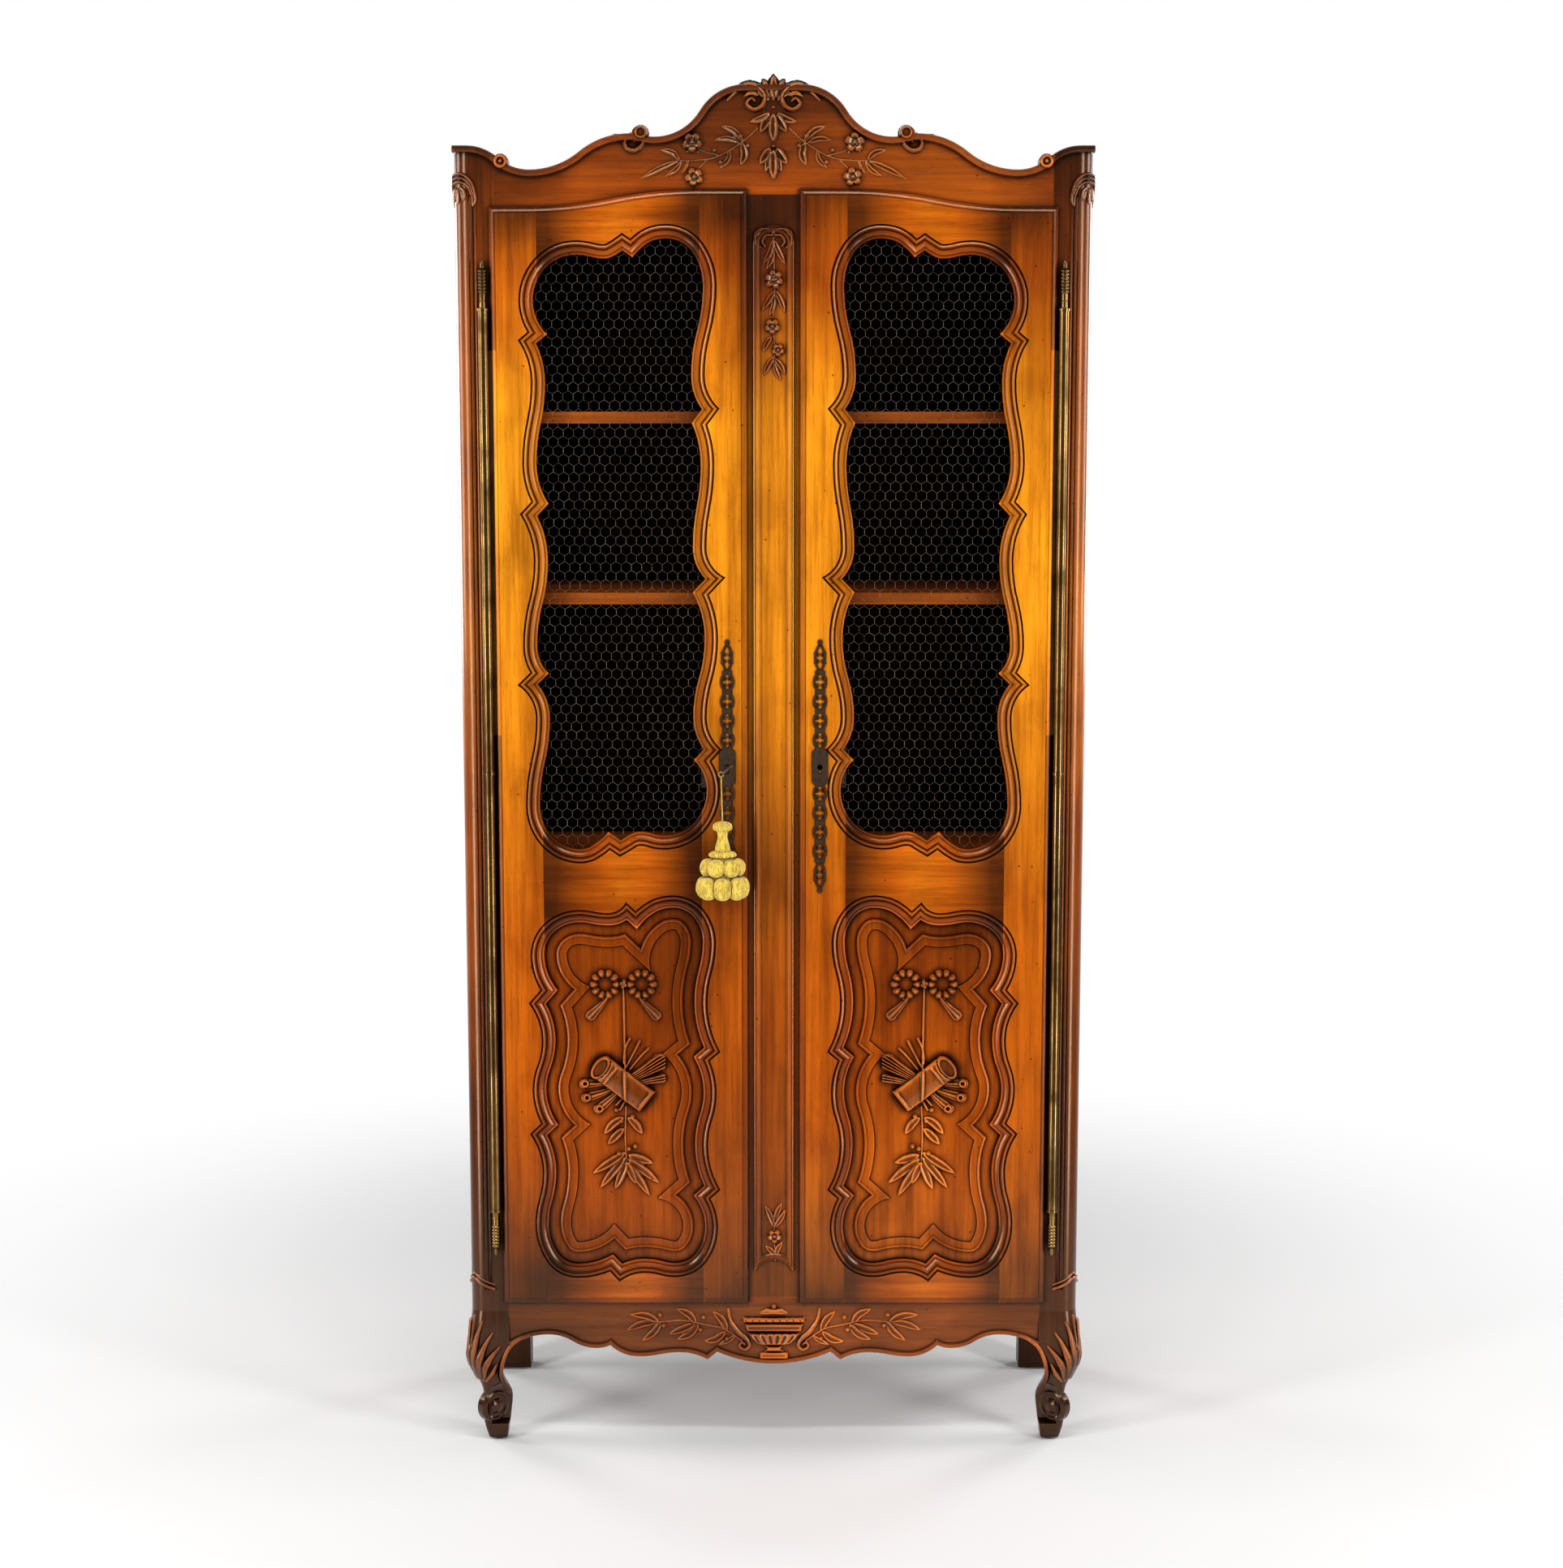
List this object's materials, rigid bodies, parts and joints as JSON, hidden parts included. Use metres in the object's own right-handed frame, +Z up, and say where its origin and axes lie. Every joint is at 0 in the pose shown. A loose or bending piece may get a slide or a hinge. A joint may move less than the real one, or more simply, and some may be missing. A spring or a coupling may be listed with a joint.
{
  "type": "bookcase cabinet",
  "caption": "Tall carved walnut bookcase cabinet with an arched crest, hinged doors with wire mesh above shaped panels, cabriole legs, locks and shelves inside.",
  "frame": {"origin": "middle of the floor area under the case, on the floor, with the key counted in the depth", "axes": "+Z up, the doors face -Y, +X to the right of someone who faces the doors"},
  "size_m": [0.9866, 0.4688, 2.17],
  "materials": {
    "walnut": "polished",
    "panel_walnut": "polished",
    "inner_wood": "matt",
    "brass": "aged",
    "iron": "dull",
    "wire": "dull",
    "cord_yarn": "twisted yarn",
    "tassel_wool": "wool"
  },
  "bodies": {
    "case": {"front_post_left": "walnut", "front_post_right": "walnut", "rear_post_left": "walnut", "rear_post_right": "walnut", "side_upper_panel_left": "panel_walnut", "side_upper_panel_right": "panel_walnut", "side_lower_panel_left": "panel_walnut", "side_lower_panel_right": "panel_walnut", "side_top_rail_left": "walnut", "side_top_rail_right": "walnut", "side_middle_rail_left": "walnut", "side_middle_rail_right": "walnut", "side_bottom_rail_left": "walnut", "side_bottom_rail_right": "walnut", "hinge_frame_barrel_left": "brass", "hinge_frame_barrel_right": "brass", "hinge_pin_left": "brass", "hinge_pin_right": "brass", "crest_rail": "walnut", "apron_rail": "walnut", "centre_post": "walnut", "lock_strikes": "iron", "back_panel": "inner_wood", "back_top_rail": "inner_wood", "back_bottom_rail": "inner_wood", "floor_board": "inner_wood", "top_board": "inner_wood", "shelf_upper": "inner_wood", "shelf_middle": "inner_wood", "shelf_lower": "inner_wood", "shelf_cleats": "inner_wood", "foot_glides": "iron"},
    "left_door": {"door_hinge_stile_left": "walnut", "door_lock_stile_left": "walnut", "door_bottom_rail_left": "walnut", "door_lock_rail_left": "walnut", "door_top_rail_left": "walnut", "door_panel_left": "panel_walnut", "door_wire_mesh_left": "wire", "door_mesh_retainer_left": "walnut", "door_escutcheon_left": "iron", "door_lock_case_left": "iron", "hinge_door_barrel_left": "brass"},
    "right_door": {"door_hinge_stile_right": "walnut", "door_lock_stile_right": "walnut", "door_bottom_rail_right": "walnut", "door_lock_rail_right": "walnut", "door_top_rail_right": "walnut", "door_panel_right": "panel_walnut", "door_wire_mesh_right": "wire", "door_mesh_retainer_right": "walnut", "door_escutcheon_right": "iron", "door_lock_case_right": "iron", "hinge_door_barrel_right": "brass"},
    "left_bolt": {"lock_bolt_left": "iron"},
    "right_bolt": {"lock_bolt_right": "iron"},
    "key": {"key": "iron"},
    "tassel": {"tassel_cord": "cord_yarn", "tassel": "tassel_wool"}
  },
  "joints": [
    {"name": "left_door_hinge", "type": "hinge", "parent": "case", "child": "left_door", "pos_m": [-0.446, -0.185, 1.104], "axis": [0, 0, -1], "range_deg": [0, 175]},
    {"name": "right_door_hinge", "type": "hinge", "parent": "case", "child": "right_door", "pos_m": [0.446, -0.185, 1.104], "axis": [0, 0, 1], "range_deg": [0, 175]},
    {"name": "key_turn", "type": "hinge", "parent": "left_door", "child": "key", "pos_m": [-0.0725, -0.214, 1.114], "axis": [0, -1, 0], "range_deg": [0, 180]},
    {"name": "tassel_hang", "type": "hinge", "parent": "key", "child": "tassel", "pos_m": [-0.08185, -0.214, 1.10616], "axis": [0, -1, 0], "range_deg": [-180, 0]},
    {"name": "left_bolt_slide", "type": "slide", "parent": "left_door", "child": "left_bolt", "axis": [1, 0, 0], "range_m": [0, 0.013]},
    {"name": "right_bolt_slide", "type": "slide", "parent": "right_door", "child": "right_bolt", "axis": [-1, 0, 0], "range_m": [0, 0.013]}
  ],
  "couplings": [
    {"joint": "tassel_hang", "follows": "key_turn", "ratio": -1},
    {"joint": "left_bolt_slide", "follows": "key_turn", "m_per_rad": 0.004138}
  ]
}
